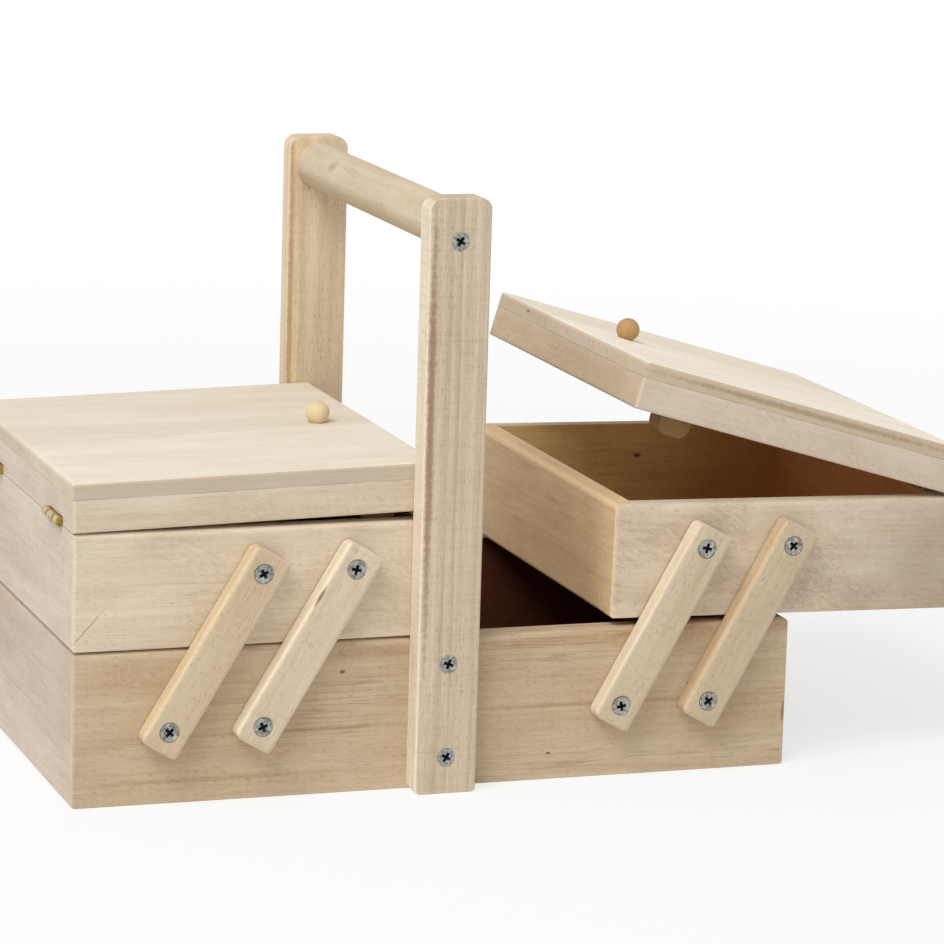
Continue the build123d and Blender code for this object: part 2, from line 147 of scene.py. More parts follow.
class Tree:
    """Adds nodes to a shader tree and joins them up; an input is given as a value or as a socket."""

    def __init__(self, tree):
        self.tree = tree

    def feed(self, socket, value):
        """Join an input to a socket, or set it to a value."""
        if isinstance(value, bpy.types.NodeSocket):
            self.tree.links.new(value, socket)
        else:
            socket.default_value = value

    def add(self, kind, inputs=(), **settings):
        node = self.tree.nodes.new(kind)
        for name, value in settings.items():
            setattr(node, name, value)
        for key, value in dict(inputs).items():
            self.feed(node.inputs[key], value)
        return node

    def takes(self, **kinds):
        """Give a group these inputs, and return their sockets by name."""
        for name, kind in kinds.items():
            self.tree.interface.new_socket(name, in_out="INPUT", socket_type=f"NodeSocket{kind}")
        return self.add("NodeGroupInput").outputs

    def gives(self, **results):
        """Give a group these outputs, each a kind and the socket that feeds it."""
        for name, (kind, _) in results.items():
            self.tree.interface.new_socket(name, in_out="OUTPUT", socket_type=f"NodeSocket{kind}")
        self.add("NodeGroupOutput", {name: socket for name, (_, socket) in results.items()})

    def math(self, operation, *values, clamp=False):
        return self.add("ShaderNodeMath", enumerate(values), operation=operation, use_clamp=clamp).outputs[0]

    def vector(self, operation, *values):
        node = self.add("ShaderNodeVectorMath", enumerate(values), operation=operation)
        return node.outputs["Value" if operation in ("DOT_PRODUCT", "LENGTH") else "Vector"]

    def combine(self, x, y, z):
        return self.add("ShaderNodeCombineXYZ", {"X": x, "Y": y, "Z": z}).outputs[0]

    def split(self, vector):
        return self.add("ShaderNodeSeparateXYZ", {0: vector}).outputs

    def ramp(self, value, low, high, to_low=0.0, to_high=1.0):
        """Carry a value smoothly from one range to another."""
        return self.add(
            "ShaderNodeMapRange",
            {"Value": value, "From Min": low, "From Max": high, "To Min": to_low, "To Max": to_high},
            interpolation_type="SMOOTHSTEP",
        ).outputs[0]

    def mix(self, factor, first, second, blend="MIX"):
        """Mix two colours; 0, 6 and 7 are the factor and the colour inputs of the node."""
        node = self.add("ShaderNodeMix", data_type="RGBA", blend_type=blend)
        for key, value in ((0, factor), (6, first), (7, second)):
            self.feed(node.inputs[key], value)
        return node.outputs[2]

    def noise(self, point, stretch, detail=2.0, roughness=0.5, distortion=0.0):
        """Noise from 0 to 1, with stretch features to the millimetre along each axis."""
        settings = {
            "Vector": self.vector("MULTIPLY", point, stretch), "Scale": 1.0,
            "Detail": detail, "Roughness": roughness, "Distortion": distortion,
        }
        return self.add("ShaderNodeTexNoise", settings).outputs[0]

    def cells(self, point, stretch):
        """Scattered points: how far the nearest is, and a number of its own."""
        scaled = self.vector("MULTIPLY", point, stretch)
        node = self.add("ShaderNodeTexVoronoi", {"Vector": scaled, "Scale": 1.0})
        return node.outputs["Distance"], self.split(node.outputs["Color"])[0]

    def in_millimetres(self, place):
        """A place given in metres, in millimetres."""
        scaled = self.vector("SCALE", place)
        scaled.node.inputs["Scale"].default_value = 1 / MM
        return scaled

    def in_board(self, point, along, across):
        """A point as its board has it: along the grain, across the broad face and through the board."""
        through = self.vector("CROSS_PRODUCT", along, across)
        return self.combine(*[self.vector("DOT_PRODUCT", point, way) for way in (along, across, through)])

    def looked_at(self):
        """1 for what the camera sees, straight, in gloss or through glass, and 0 for light on its way."""
        seen = self.add("ShaderNodeLightPath").outputs
        nearly = self.math("MAXIMUM", seen["Is Camera Ray"], seen["Is Glossy Ray"])
        return self.math("MAXIMUM", nearly, seen["Is Transmission Ray"])


def new_group(name):
    return bpy.data.node_groups.new(name, "ShaderNodeTree")


def new_material(name):
    """A node material with nothing in it but its output."""
    material = bpy.data.materials.new(name)
    material.use_nodes = True
    material.node_tree.nodes.clear()
    return material


# ---------------------------------------------------------------- timber
def build_timber():
    """Solid wood, worked out at any point of a board: rings about a pith, fibres and pores.

    X runs along the grain.  Across a cut end the same wood shows its rings and the ends of its pores.
    """
    group = new_group("timber")
    t = Tree(group)
    given = t.takes(
        Point="Vector", Normal="Vector", Along="Vector", Across="Vector", Shift="Vector",
        Pale="Color", Tan="Color", PoreColour="Color",
        Wander="Float", RingWidth="Float", Rings="Float", Streaks="Float", Bands="Float",
        Veins="Float", Pores="Float", Figure="Float", SawMarks="Float", EndGrain="Float",
    )
    in_board = t.in_board(given["Point"], given["Along"], given["Across"])
    grain = t.vector("ADD", in_board, given["Shift"])

    # Rings: the distance from the pith, which wanders, counted in uneven ring widths.
    wander = t.combine(
        0.0,
        t.math("MULTIPLY_ADD", t.noise(grain, (0.011, 0.02, 0.02), 1.0), 20.0, -10.0),
        t.math("MULTIPLY_ADD", t.noise(grain, (0.013, 0.022, 0.018), 1.0, distortion=0.4), 16.0, -8.0),
    )
    wander = t.vector("MULTIPLY", wander, t.combine(given["Wander"], given["Wander"], given["Wander"]))
    off_pith = t.vector("MULTIPLY", t.vector("ADD", grain, wander), (0.0, 1.0, 1.0))
    radius = t.vector("LENGTH", off_pith)
    uneven = t.noise(t.combine(radius, 3.0, 7.0), (0.12, 1.0, 1.0), 1.0)
    count = t.math("ADD", t.math("DIVIDE", radius, given["RingWidth"]), t.math("MULTIPLY", uneven, 2.2))
    within = t.math("FRACT", count)
    own = t.add("ShaderNodeTexWhiteNoise", {"W": t.math("FLOOR", count)}, noise_dimensions="1D").outputs[0]
    late = t.math("MULTIPLY", t.ramp(within, 0.15, 0.8), t.ramp(within, 1.0, 0.86))
    ring = t.math("MULTIPLY", late, t.ramp(own, 0.0, 1.0, 0.15, 1.0))

    # Fibres in long streaks, hairs of grain, and broad soft bands of tone.
    fibre = t.ramp(t.noise(grain, (0.016, 0.55, 0.55), 5.0, 0.62), 0.3, 0.7)
    hair = t.ramp(t.noise(grain, (0.12, 3.6, 3.6), 3.0, 0.62), 0.3, 0.7)
    band = t.ramp(t.noise(grain, (0.007, 0.06, 0.06), 2.0), 0.3, 0.7)
    cloud = t.ramp(t.noise(grain, (0.03, 0.075, 0.075), 3.0, 0.55, 0.5), 0.3, 0.7)
    grit = t.ramp(t.noise(grain, (0.7, 2.2, 2.2), 4.0, 0.75), 0.32, 0.68)
    streak = t.math("MULTIPLY_ADD", grit, 0.25, t.math("MULTIPLY", fibre, 0.45))
    streak = t.math("MULTIPLY_ADD", hair, 0.3, streak)
    broad = t.math("MULTIPLY_ADD", cloud, 0.45, t.math("MULTIPLY", band, 0.55))

    depth = t.math("MULTIPLY", ring, given["Rings"])
    depth = t.math("MULTIPLY_ADD", streak, given["Streaks"], depth)
    depth = t.math("MULTIPLY_ADD", broad, given["Bands"], depth, clamp=True)
    colour = t.mix(depth, given["Pale"], given["Tan"])

    # Veins: thin dark lines that gather in places.
    line = t.noise(grain, (0.014, 0.42, 0.42), 3.0, 0.55, 0.3)
    line = t.ramp(t.math("ABSOLUTE", t.math("SUBTRACT", line, 0.5)), 0.035, 0.004)
    gathered = t.ramp(t.noise(grain, (0.012, 0.05, 0.05), 2.0), 0.42, 0.62)
    vein = t.math("MULTIPLY", line, gathered)

    # Pores: short dashes along the grain, some fainter than others.
    near, own_pore = t.cells(grain, (0.3, 2.3, 2.3))
    fine = t.math("MULTIPLY", t.ramp(near, 0.42, 0.1), t.ramp(own_pore, 0.2, 1.0, 0.0, 0.65))
    near, own_pore = t.cells(t.vector("ADD", grain, (31.0, 7.0, 13.0)), (0.1, 1.5, 1.5))
    coarse = t.math("MULTIPLY", t.ramp(near, 0.26, 0.05), t.ramp(own_pore, 0.45, 1.0, 0.0, 0.5))
    pore = t.math("MAXIMUM", fine, coarse)
    gather = t.ramp(t.noise(grain, (0.02, 0.09, 0.09), 2.0), 0.3, 0.6, 0.35, 1.0)
    dark = t.math("MULTIPLY", t.math("MULTIPLY", pore, gather), given["Pores"])
    dark = t.math("MAXIMUM", dark, t.math("MULTIPLY", vein, given["Veins"]), clamp=True)
    colour = t.mix(dark, colour, given["PoreColour"])

    # Figure: slanting flecks in soft patches, as where the fibres roll.
    patch = t.ramp(t.noise(grain, (0.03, 0.045, 0.045), 2.0, 0.5, 0.8), 0.4, 0.62)
    slant = t.vector("ADD", grain, t.combine(0.0, t.math("MULTIPLY", t.split(grain)[0], 0.6), 0.0))
    fleck = t.ramp(t.noise(slant, (0.3, 0.62, 0.62), 5.0, 0.7, 0.9), 0.38, 0.66)
    rolled = t.math("MULTIPLY", t.math("MULTIPLY", patch, fleck), given["Figure"])

    # Saw marks: short faint lines straight across.
    saw = t.ramp(t.noise(grain, (1.3, 0.07, 0.07), 2.0, 0.7), 0.52, 0.72)
    saw = t.math("MULTIPLY", saw, given["SawMarks"])
    loss = t.math("MULTIPLY_ADD", rolled, 0.24, t.math("MULTIPLY", saw, 0.16))

    # Cut ends are darker, and whatever is lost of the colour leaves it warmer.
    facing = t.math("ABSOLUTE", t.vector("DOT_PRODUCT", given["Normal"], given["Along"]))
    end = t.ramp(facing, 0.6, 0.97)
    loss = t.math("MULTIPLY_ADD", end, given["EndGrain"], loss)
    shade = t.combine(*[t.math("MULTIPLY_ADD", loss, -share, 1.0) for share in (0.8, 1.0, 1.25)])
    colour = t.mix(1.0, colour, shade, "MULTIPLY")

    rough = t.math("MULTIPLY_ADD", hair, 0.14, t.math("MULTIPLY_ADD", pore, 0.1, 0.58))
    height = t.math("MULTIPLY", ring, 0.2)
    for part, share in ((hair, 0.35), (pore, -0.8), (vein, -0.3), (saw, -0.45)):
        height = t.math("MULTIPLY_ADD", part, share, height)
    t.gives(Colour=("Color", colour), Roughness=("Float", rough), Height=("Float", height))
    return group


def build_edges():
    """How near a point of a board lies to one of its edges, from 0 to 1, broken up a little."""
    group = new_group("edges")
    t = Tree(group)
    given = t.takes(Point="Vector", Along="Vector", Across="Vector", Middle="Vector", Half="Vector")
    in_board = t.in_board(given["Point"], given["Along"], given["Across"])
    off_middle = t.vector("ABSOLUTE", t.vector("SUBTRACT", in_board, given["Middle"]))
    first, second, third = t.split(t.vector("SUBTRACT", given["Half"], off_middle))
    nearest = t.math("MINIMUM", first, second)
    next_nearest = t.math("MAXIMUM", nearest, t.math("MINIMUM", t.math("MAXIMUM", first, second), third))
    ragged = t.math("MULTIPLY_ADD", t.noise(given["Point"], (0.35, 0.35, 0.35), 4.0, 0.65), 1.4, -0.7)
    edge = t.ramp(t.math("ADD", next_nearest, ragged), 1.5, 0.2)
    t.gives(Edge=("Float", edge))
    return group


timber = build_timber()
edges = build_edges()
dice = random.Random(SEED)

WOODS = {
    "box": dict(
        Pale=tone(226, 210, 185), Tan=tone(196, 174, 144), PoreColour=tone(128, 96, 66),
        Wander=0.6, RingWidth=9.0,
        Rings=0.16, Streaks=0.5, Bands=0.45, Veins=0.18, Pores=0.7,
        Figure=0.4, SawMarks=0.1, EndGrain=0.1,
    ),
    "lid": dict(
        Pale=tone(244, 236, 218), Tan=tone(226, 212, 190), PoreColour=tone(176, 148, 116),
        Wander=0.7, RingWidth=14.0,
        Rings=0.1, Streaks=0.45, Bands=0.5, Veins=0.1, Pores=0.4,
        Figure=0.15, SawMarks=0.0, EndGrain=0.1,
    ),
    "rim": dict(
        Pale=tone(228, 213, 190), Tan=tone(202, 182, 154), PoreColour=tone(140, 108, 78),
        Wander=0.6, RingWidth=11.0,
        Rings=0.12, Streaks=0.45, Bands=0.45, Veins=0.15, Pores=0.45,
        Figure=0.6, SawMarks=0.0, EndGrain=0.1,
    ),
    "link": dict(
        Pale=tone(224, 208, 178), Tan=tone(198, 178, 144), PoreColour=tone(138, 106, 72),
        Wander=0.3, RingWidth=7.0,
        Rings=0.12, Streaks=0.55, Bands=0.35, Veins=0.15, Pores=0.95,
        Figure=0.25, SawMarks=0.2, EndGrain=0.04,
    ),
    "post": dict(
        Pale=tone(222, 206, 178), Tan=tone(176, 156, 130), PoreColour=tone(122, 96, 74),
        Wander=0.07, RingWidth=3.6,
        Rings=0.36, Streaks=0.55, Bands=0.2, Veins=0.15, Pores=0.9,
        Figure=0.1, SawMarks=0.7, EndGrain=0.1,
    ),
    "dowel": dict(
        Pale=tone(234, 221, 199), Tan=tone(204, 182, 150), PoreColour=tone(146, 114, 82),
        Wander=0.5, RingWidth=8.0,
        Rings=0.15, Streaks=0.4, Bands=0.5, Veins=0.2, Pores=0.6,
        Figure=0.4, SawMarks=0.1, EndGrain=0.08,
    ),
    "knob": dict(
        Pale=tone(236, 212, 168), Tan=tone(208, 176, 128), PoreColour=tone(160, 118, 74),
        Wander=0.3, RingWidth=3.0,
        Rings=0.25, Streaks=0.4, Bands=0.3, Veins=0.0, Pores=0.5,
        Figure=0.0, SawMarks=0.0, EndGrain=0.1,
    ),
    "panel": dict(
        Pale=tone(196, 152, 112), Tan=tone(150, 104, 70), PoreColour=tone(92, 58, 36),
        Wander=0.6, RingWidth=9.0,
        Rings=0.2, Streaks=0.5, Bands=0.4, Veins=0.2, Pores=0.7,
        Figure=0.1, SawMarks=0.0, EndGrain=0.15,
    ),
}
SEAM_PAINT = tone(96, 70, 48)
PLAIN = (1, 1, 1)                   # a wash that changes nothing
TRAY_INSIDE_SHADE = (1.18, 1.0, 0.72)     # the painted warm shade inside a tray
BASE_INSIDE_SHADE = (0.24, 0.09, 0.055)   # and the painted dark shade inside the base

BIG_MARK = 30           # a mark this broad has a soft even edge, and a smaller one a ragged edge
FINE_MARK = 3           # a mark finer than this isn't speckled
BOARD_TILT = 1.2        # how far a board's grain strays from its edges, in degrees
PITH_ALONG = 400        # where a board's pith lies: along its grain,
PITH_ACROSS = 45        # across its face,
PITH_OFF = (45, 110)    # and how far below or above it
EDGE_WEAR_AND_HIGHLIGHT = 1.06        # a worn edge with a painted highlight, against the pale wood
GLUE_LINE = (0.25, 0.3)     # width and strength of the line between two glued boards


def washed(colour, tint):
    """A colour with a wash of another over it."""
    return tuple(value * share for value, share in zip(colour, tint)) + (1.0,)


def multiplied(t, colour, amount, tint):
    """Lay a wash over a colour where amount is 1."""
    return t.mix(amount, colour, t.mix(1.0, colour, (*tint, 1.0), "MULTIPLY"))


def mark(t, colour, point, spot):
    """A stain, knot or scratch: an ellipsoid of colour about one place in the wood."""
    centre, along, across, reach, paint, strength = spot
    off = t.vector("SUBTRACT", point, centre)
    directions = (along, across, along.cross(across))
    parts = [
        t.math("DIVIDE", t.vector("DOT_PRODUCT", off, way), size) for way, size in zip(directions, reach)
    ]
    speckle = t.noise(point, (0.4, 0.4, 0.4), 5.0, 0.68)
    breadth = min(reach[:2])
    ragged = 1.2 if breadth < BIG_MARK else 0.15
    uneven = t.math("MULTIPLY_ADD", speckle, ragged, -ragged / 2)
    near = t.math("ADD", t.vector("LENGTH", t.combine(*parts)), uneven)
    amount = t.math("MULTIPLY", t.ramp(near, 1.0, 0.3), strength)
    if FINE_MARK < breadth < BIG_MARK:
        amount = t.math("MULTIPLY", amount, t.ramp(speckle, 0.34, 0.64, 0.3, 1.1))
    return t.mix(amount, colour, paint)


def seam(t, colour, point, facing, line):
    """A thin dark line where two pieces of wood meet in a plane.

    facing is the surface's own normal: a face that lies in the plane has no line.
    """
    place, normal, width, strength = line
    flat = t.math("ABSOLUTE", t.vector("DOT_PRODUCT", facing, normal))
    off = t.math("ABSOLUTE", t.vector("DOT_PRODUCT", t.vector("SUBTRACT", point, place), normal))
    broken = t.ramp(t.noise(point, (0.12, 0.12, 0.12), 3.0), 0.35, 0.6, 0.35, 1.0)
    amount = t.math("MULTIPLY", t.math("MULTIPLY", t.ramp(off, width, width / 4), strength), broken)
    amount = t.math("MULTIPLY", amount, t.ramp(flat, 0.9, 0.6))
    return t.mix(amount, colour, SEAM_PAINT)


def spread(node, directions):
    """Middle and half size of a node along three directions, in millimetres."""
    points = [vertex.co for vertex in nodes[node].data.vertices]
    middle = []
    half = []
    for way in directions:
        reaches = [point.dot(way) / MM for point in points]
        middle.append((min(reaches) + max(reaches)) / 2)
        half.append((max(reaches) - min(reaches)) / 2)
    return Vector(middle), Vector(half)


def board(
    node, wood, along, across, tint=PLAIN, edge=0.2, faces=(), glued=None, marks=(), seams=(),
    pith=None, **changes,
):
    """Finish one wooden node: its grain runs along one direction, and across lies in its broad face.

    faces are directions, each with the wash that sides facing that way have; some of these washes are
    painted light or shade.  glued is a direction, how far along it a second board starts in millimetres, and
    that board's wash.
    """
    material = new_material(f"{node}_timber")
    t = Tree(material.node_tree)
    rest = t.add("ShaderNodeTexCoord").outputs
    point = t.in_millimetres(rest["Object"])
    through = along.cross(across)
    middle, half = spread(node, (along, across, through))
    tilt = Matrix.Rotation(radians(dice.uniform(-BOARD_TILT, BOARD_TILT)), 3, through)
    tilt = tilt @ Matrix.Rotation(radians(dice.uniform(-BOARD_TILT, BOARD_TILT)), 3, across)

    def one_board(wash):
        """The timber of one board, with a pith of its own."""
        place = Vector((
            dice.uniform(-PITH_ALONG, PITH_ALONG),
            dice.uniform(-PITH_ACROSS, PITH_ACROSS),
            dice.choice((-1, 1)) * dice.uniform(*PITH_OFF),
        ))
        shift = (pith or place) - middle
        settings = dict(WOODS[wood], Along=tilt @ along, Across=tilt @ across, Shift=shift)
        settings.update(changes)
        for name in ("Pale", "Tan", "PoreColour"):
            settings[name] = washed(settings[name], wash)
        inputs = {"Point": point, "Normal": rest["Normal"], **settings}
        return t.add("ShaderNodeGroup", inputs.items(), node_tree=timber).outputs

    wood_here = one_board(tint)
    colour = wood_here["Colour"]
    if glued:
        way, start, second_tint = glued
        beyond = one_board(second_tint)
        past = t.ramp(t.vector("DOT_PRODUCT", point, way), start - 0.15, start + 0.15)
        colour = t.mix(past, colour, beyond["Colour"])
        seams = (*seams, (way * start, way, *GLUE_LINE))
    # Paler near the edges: partly wear, partly a painted highlight.
    edge_wear_and_highlight = t.add(
        "ShaderNodeGroup",
        {"Point": point, "Along": along, "Across": across, "Middle": middle, "Half": half},
        node_tree=edges,
    ).outputs[0]
    edge_wear_and_highlight_tone = washed(WOODS[wood]["Pale"], [EDGE_WEAR_AND_HIGHLIGHT * share for share in tint])
    colour = t.mix(t.math("MULTIPLY", edge_wear_and_highlight, edge), colour, edge_wear_and_highlight_tone)
    for direction, wash in faces:
        facing = t.ramp(t.vector("DOT_PRODUCT", rest["Normal"], direction), 0.4, 0.85)
        colour = multiplied(t, colour, facing, wash)
    for line in seams:
        colour = seam(t, colour, point, rest["Normal"], line)
    for spot in marks:
        colour = mark(t, colour, point, spot)
    bump = t.add("ShaderNodeBump", {"Strength": 0.6, "Distance": 0.12 * MM, "Height": wood_here["Height"]})
    surface = t.add(
        "ShaderNodeBsdfPrincipled",
        {
            "Base Color": colour,
            "Roughness": wood_here["Roughness"],
            "Normal": bump.outputs[0],
            "Specular IOR Level": 0.3,
        },
    )
    t.add("ShaderNodeOutputMaterial", {"Surface": surface.outputs[0]})
    put_on(nodes[node], material)


def put_on(piece, material):
    """Give a piece this material in place of its own."""
    piece.data.materials.clear()
    piece.data.materials.append(material)


def knot(place, size, strength=0.8):
    """A small dark knot."""
    return (Vector(place), X, Z, (1.6 * size, size, size), tone(92, 56, 30), strength)


def finish_base():
    # The inner faces of the base walls are darkened: painted dark shade.
    inside = BASE_INSIDE_SHADE
    low_joint = 23.5    # the left end is glued up of two boards that meet at this height
    board(
        "base_front", "box", X, Z, tint=(0.92, 0.89, 0.83), faces=[(Y, inside)], Veins=0.4, Streaks=0.65,
        marks=[
            knot((-36.6, -80, 44.3), 0.9), knot((42.4, -80, 9.8), 0.7), knot((96, -80, 33), 0.5),
            (Vector((30, -80, 34)), X, Z, (62, 14, 4), tone(176, 146, 108), 0.3),
            (Vector((118, -80, 22)), X, Z, (30, 20, 4), tone(170, 144, 112), 0.3),
            (Vector((134, -80, 20)), Z, X, (6.0, 0.9, 1.2), tone(112, 80, 52), 0.6),
            (Vector((78, -80, 52)), X, Z, (75, 5, 4), tone(178, 134, 86), 0.5),
            (Vector((-30, -80, 51)), X, Z, (34, 4, 4), tone(172, 134, 92), 0.45),
            (Vector((-112, -80, 46)), X, Z, (30, 9, 4), tone(176, 138, 96), 0.4),
            (Vector((66, -80, 27.5)), X, Z, (75, 1.0, 4), tone(146, 108, 68), 0.36),
            (Vector((-52, -80, 24)), X, Z, (60, 1.2, 4), tone(150, 114, 74), 0.3),
            (Vector((-88, -80, 8)), X, Z, (50, 1.4, 4), tone(156, 122, 84), 0.3),
        ],
    )
    board(
        "base_back", "box", X, Z, tint=(0.95, 0.93, 0.88), faces=[(-Y, inside)],
        marks=[knot((58, 80, 21), 1.0)],
    )
    board(
        "base_left_end", "box", Y, Z, tint=(0.9, 0.9, 0.98), faces=[(X, inside)],
        glued=(-Z, -low_joint, (1.01, 1.02, 1.15)),
    )
    board("base_right_end", "box", Y, Z, tint=(0.94, 0.92, 0.9), faces=[(-X, inside)], Veins=0.3)
    # The bottom board takes the painted shade too; the wash on its underside lightens it again.
    board("base_bottom", "panel", X, Y, tint=inside, faces=[(-Z, (2.6, 4.6, 6.0))])


def finish_handle():
    low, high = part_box("front_post")
    # band is a dark strip by the left edge of the post's face: painted shade.
    band = (
        Vector((low.x / MM + 2.1, low.y / MM, high.z / MM * 0.62)), Z, X, (high.z / MM * 0.52, 1.9, 4.0),
        tone(150, 110, 84), 0.75,
    )
    tan_edge = (
        Vector((low.x / MM + 1.0, -low.y / MM - 10, high.z / MM * 0.5)), Z, X, (high.z / MM, 1.5, 2.5),
        tone(186, 142, 92), 0.6,
    )
    straight = Vector((40, 150, 40))
    # Painted light: the post's left side, toward the lamp, is lightened.
    painted_light_side = (-X, (1.29, 1.36, 1.46))
    board("front_post", "post", Z, X, tint=(1.07, 1.07, 1.1), faces=[painted_light_side], marks=[band], pith=straight)
    # Painted light: the back post is lightened all over, and its left side a little more.
    board(
        "back_post", "post", Z, X, tint=(1.3, 1.27, 1.21), faces=[(-X, (1.0, 1.02, 1.06))], marks=[tan_edge],
        SawMarks=0.3, Rings=0.3,
    )
    swirl = (Vector((-6.5, 39.8, 208)), Y, X, (5.0, 3.0, 3.0), tone(150, 118, 84), 0.5)
    # Painted shade on the underside of the dowel.
    dowel_underside_shade = (Vector((-0.5, 0, -0.85)), (0.88, 0.84, 0.75))
    board("handle_dowel", "dowel", Y, X, tint=(0.9, 0.885, 0.85), edge=0.0, marks=[swirl], faces=[dowel_underside_shade])


def finish_links():
    torn_along = link_along["left"]
    torn = (
        Vector((-47.4, -87, 73.8)), torn_along, torn_along.cross(Y), (5.5, 0.7, 2.0),
        tone(120, 84, 48), 0.8,
    )
    tints = {
        "left_outer": (0.99, 0.96, 0.96), "left_inner": (1.06, 1.07, 1.14),
        "right_inner": (0.98, 0.98, 1.0), "right_outer": (0.93, 0.91, 0.92),
    }
    # Painted light: the sides of the links that face the lamp are lightened.
    sides = {
        "left_outer": (1.14, 1.1, 1.02), "left_inner": (1.22, 1.27, 1.32),
        "right_inner": (1.25, 1.29, 1.36), "right_outer": (1.08, 0.98, 0.88),
    }
    for side in SIDES:
        along = link_along[side]
        across = along.cross(Y)
        for row in ("front", "back"):
            for place in ("outer", "inner"):
                name = f"{side}_{row}_{place}_link"
                board(
                    name, "link", along, across, tint=tints[f"{side}_{place}"], edge=0.3,
                    faces=[(across, sides[f"{side}_{place}"])],
                    marks=[torn] if name == "left_front_inner_link" else [],
                )


def finish_trays():
    scratch_along = Vector((0.67, 0, 0.74))
    scratch = (
        Vector((-130, -79.7, 64.2)), scratch_along, scratch_along.cross(Y), (13.0, 0.4, 2.0),
        tone(140, 106, 72), 0.5,
    )
    swirls = [
        (Vector((x, -79.7, z)), X, Z, (width, height, 6.0), tone(158, 138, 116), strength)
        for x, z, width, height, strength in (
            (145, 68, 17, 7, 0.3), (163, 64, 14, 9, 0.35), (158, 80, 24, 8, 0.25), (184, 72, 16, 14, 0.3),
            (225, 66, 85, 60, 0.55),
        )
    ]
    right_up = tray_along["right"].cross(Y)
    flecks = [
        (Vector(place), Y, right_up, (13.0, 1.7, 3.0), tone(150, 102, 58), 0.2)
        for place in ((65.5, 15.4, 95.2), (65.4, -14.4, 88.9), (65.4, -29.0, 85.9), (65.1, 20.3, 73.9))
    ]
    marks = {
        "left_front": [scratch], "right_front": swirls, "right_inner_end": flecks,
        "right_back": [
            knot((132.6, 72.2, 86.5), 1.3, 0.9),
            # The broad orange patch by the hinge end is painted warm shade in the inner corner.
            (Vector((196, 72, 70)), X, Z, (70, 80, 8), tone(190, 128, 62), 0.6),
        ],
    }
    tints = {
        "left_front": (1.1, 1.13, 1.17), "right_front": (1.06, 1.08, 1.13),
        # right_inner_end is warmed here: painted warm shade on that wall's outer face.
        "right_inner_end": (1.28, 1.13, 0.9), "left_hinge_end": (1.02, 1.06, 1.18),
        "left_back": (1.04, 1.04, 1.04), "right_back": (1.04, 1.02, 1.0),
    }
    figures = {"right_front": 1.0, "left_front": 0.5}
    for side in SIDES:
        along = tray_along[side]
        up = along.cross(Y)
        inner = -along if side == "right" else along
        walls = {
            "front": (along, Y), "back": (along, -Y), "inner_end": (Y, -inner), "hinge_end": (Y, inner),
        }
        # Painted warm shade inside the trays, deeper on the right tray's back and hinge end.
        inside_shades = {"back": (1.28, 1.18, 0.76), "hinge_end": (1.0, 0.58, 0.28)} if side == "right" else {}
        for wall, (grain, inwards) in walls.items():
            name = f"{side}_{wall}"
            board(
                f"{side}_tray_{wall}", "box", grain, up, tint=tints.get(name, PLAIN),
                faces=[(inwards, inside_shades.get(wall, TRAY_INSIDE_SHADE))], marks=marks.get(name, ()),
                Figure=figures.get(name, WOODS["box"]["Figure"]),
            )
        board(f"{side}_tray_bottom", "panel", along, Y, tint=(1.35, 1.68, 1.95))


def finish_lids():
    glue = {"left": (Y, -6.0, (0.94, 0.925, 0.91)), "right": (Y, 24.0, (1.04, 1.03, 1.0))}
    # Painted light: the tilted right lid panel is lightened.
    panel_painted_light = {"left": PLAIN, "right": (1.14, 1.15, 1.18)}
    # Painted shade: the right lid's rims are a little darker.
    rim_painted_shade = {"left": PLAIN, "right": (0.96, 0.96, 1.01)}
    end_tint = {"left": (1.0, 1.02, 1.1), "right": (0.92, 0.86, 0.8)}
    # Painted light and shade: one knob wood, lightened on the left lid and darkened on the right.
    knob_light_and_shade = {"left": (1.1, 1.18, 1.3), "right": (0.7, 0.56, 0.44)}
    # Painted shade: the locating blocks under the lids are darkened.
    block_shade = {"left": (0.3, 0.22, 0.12), "right": (0.4, 0.27, 0.12)}
    flank = {"left": (0.7, 0.645, 0.59), "right": (0.63, 0.555, 0.465)}
    ends = (0.72, 0.67, 0.62)
    hinge_ends = (0.86, 0.83, 0.8)
    # Painted warm shade under the lid panels.
    lid_underside_shade = (1.0, 0.88, 0.68)
    strokes_each_end = 14
    for side in SIDES:
        along = lid_along[side]
        up = along.cross(Y)
        free = -along if side == "right" else along
        middle, half = spread(f"{side}_lid_panel", (along, Y, up))
        joint = (up * (middle.z - half.z), up, 0.3, 0.35)
        top = middle.z + half.z
        strokes = [
            (
                along * middle.x + end * half.x + Y * dice.uniform(-70, 70) + up * (top - 2.6),
                (up + Y * 0.3).normalized(), along, (dice.uniform(1.2, 2.4), 1.5, 0.35),
                tone(136, 110, 84), dice.uniform(0.3, 0.6),
            )
            for end in (free, -free)
            for _ in range(strokes_each_end)
        ]
        if side == "right":
            strokes.append((
                along * middle.x + free * half.x + Y * 46.5 + up * (top - 2.4), Y, up, (2.2, 1.1, 2.0),
                tone(104, 68, 40), 0.7,
            ))
            strokes.append((
                along * middle.x - Y * 79 + up * (top - 2.7), along, up, (90, 1.5, 3.0),
                tone(140, 112, 80), 0.5,
            ))
        board(
            f"{side}_lid_panel", "lid", along, Y, tint=panel_painted_light[side], edge=0.05,
            glued=glue[side], seams=[joint], marks=strokes,
            faces=[
                (-Y, flank[side]), (Y, flank[side]), (free, ends), (-free, hinge_ends), (-up, lid_underside_shade),
            ],
        )
        for rim in ("front", "back"):
            board(f"{side}_lid_rim_{rim}", "rim", along, up, tint=rim_painted_shade[side], seams=[joint])
        for rim in ("free_end", "hinge_end"):
            board(f"{side}_lid_rim_{rim}", "rim", Y, up, tint=end_tint[side], seams=[joint])
        board(f"{side}_locating_block", "link", Y, up, tint=block_shade[side], edge=0.0)
        board(f"{side}_knob", "knob", up, Y, tint=knob_light_and_shade[side], edge=0.0)


